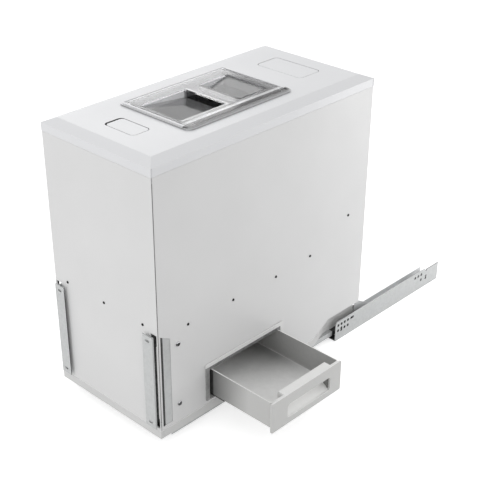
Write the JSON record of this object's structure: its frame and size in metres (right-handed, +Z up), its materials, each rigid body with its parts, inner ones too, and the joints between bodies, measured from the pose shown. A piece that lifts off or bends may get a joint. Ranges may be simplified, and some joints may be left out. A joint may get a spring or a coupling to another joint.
{
  "type": "cabinet-mounted rice bin",
  "caption": "Tall narrow sheet-metal rice bin on cabinet slides, with door brackets, a hinged clear filling lid and a side drawer that catches rice from an inner hopper.",
  "frame": {"origin": "centre of the four door slots, on the brackets' face that lies against the cabinet door", "axes": "+Z up, -Y towards the cabinet door, +X towards the side where the drawer opens"},
  "size_m": [0.4005, 0.784, 0.5172],
  "materials": {
    "white_sheet": "satin powder coat",
    "base_grey": "satin powder coat",
    "white_cover": "smooth moulded",
    "clear_plastic": "clear moulded",
    "seal_rubber": "soft matt",
    "galvanised": "galvanised sheet",
    "drawer_grey": "satin moulded",
    "grip_white": "smooth moulded",
    "dark_plastic": "matt moulded",
    "roller_nylon": "plain nylon",
    "rivet_metal": "dull",
    "screw_metal": "bright zinc"
  },
  "bodies": {
    "cabinet": {"cabinet_rail_right": "galvanised", "cabinet_rail_left": "galvanised"},
    "carriage": {"middle_rail_right": "galvanised", "middle_rail_left": "galvanised", "slide_rollers": "roller_nylon"},
    "bin": {"bin_rail_right": "galvanised", "bin_rail_left": "galvanised", "base_tray": "base_grey", "side_panel_right": "white_sheet", "side_panel_left": "white_sheet", "front_panel": "white_sheet", "back_panel": "white_sheet", "top_cover": "white_cover", "inlet_frame": "white_cover", "lid_seal": "seal_rubber", "front_cap": "white_cover", "rear_cap": "white_cover", "hopper": "galvanised", "outlet_spout": "galvanised", "panel_rivets": "rivet_metal", "drawer_bezel": "base_grey", "drawer_gasket": "seal_rubber", "drawer_guides": "galvanised", "door_bracket_right": "galvanised", "door_bracket_left": "galvanised", "bracket_screws": "screw_metal"},
    "lid": {"lid": "clear_plastic", "lid_hinge_pins": "screw_metal"},
    "drawer": {"drawer_tray": "drawer_grey", "drawer_front": "drawer_grey", "drawer_grip": "grip_white", "drawer_runners": "dark_plastic"}
  },
  "joints": [
    {"name": "bin_slide", "type": "slide", "parent": "cabinet", "child": "bin", "axis": [0, 1, 0], "range_m": [0, 0.4]},
    {"name": "carriage_slide", "type": "slide", "parent": "cabinet", "child": "carriage", "axis": [0, 1, 0], "range_m": [0, 0.2]},
    {"name": "drawer_slide", "type": "slide", "parent": "bin", "child": "drawer", "axis": [1, 0, 0], "range_m": [-0.14, 0]},
    {"name": "lid_hinge", "type": "hinge", "parent": "bin", "child": "lid", "pos_m": [0, 0.3561, 0.3868], "axis": [-1, 0, 0], "range_deg": [0, 100]}
  ],
  "couplings": [
    {"joint": "carriage_slide", "follows": "bin_slide", "ratio": 0.5}
  ]
}
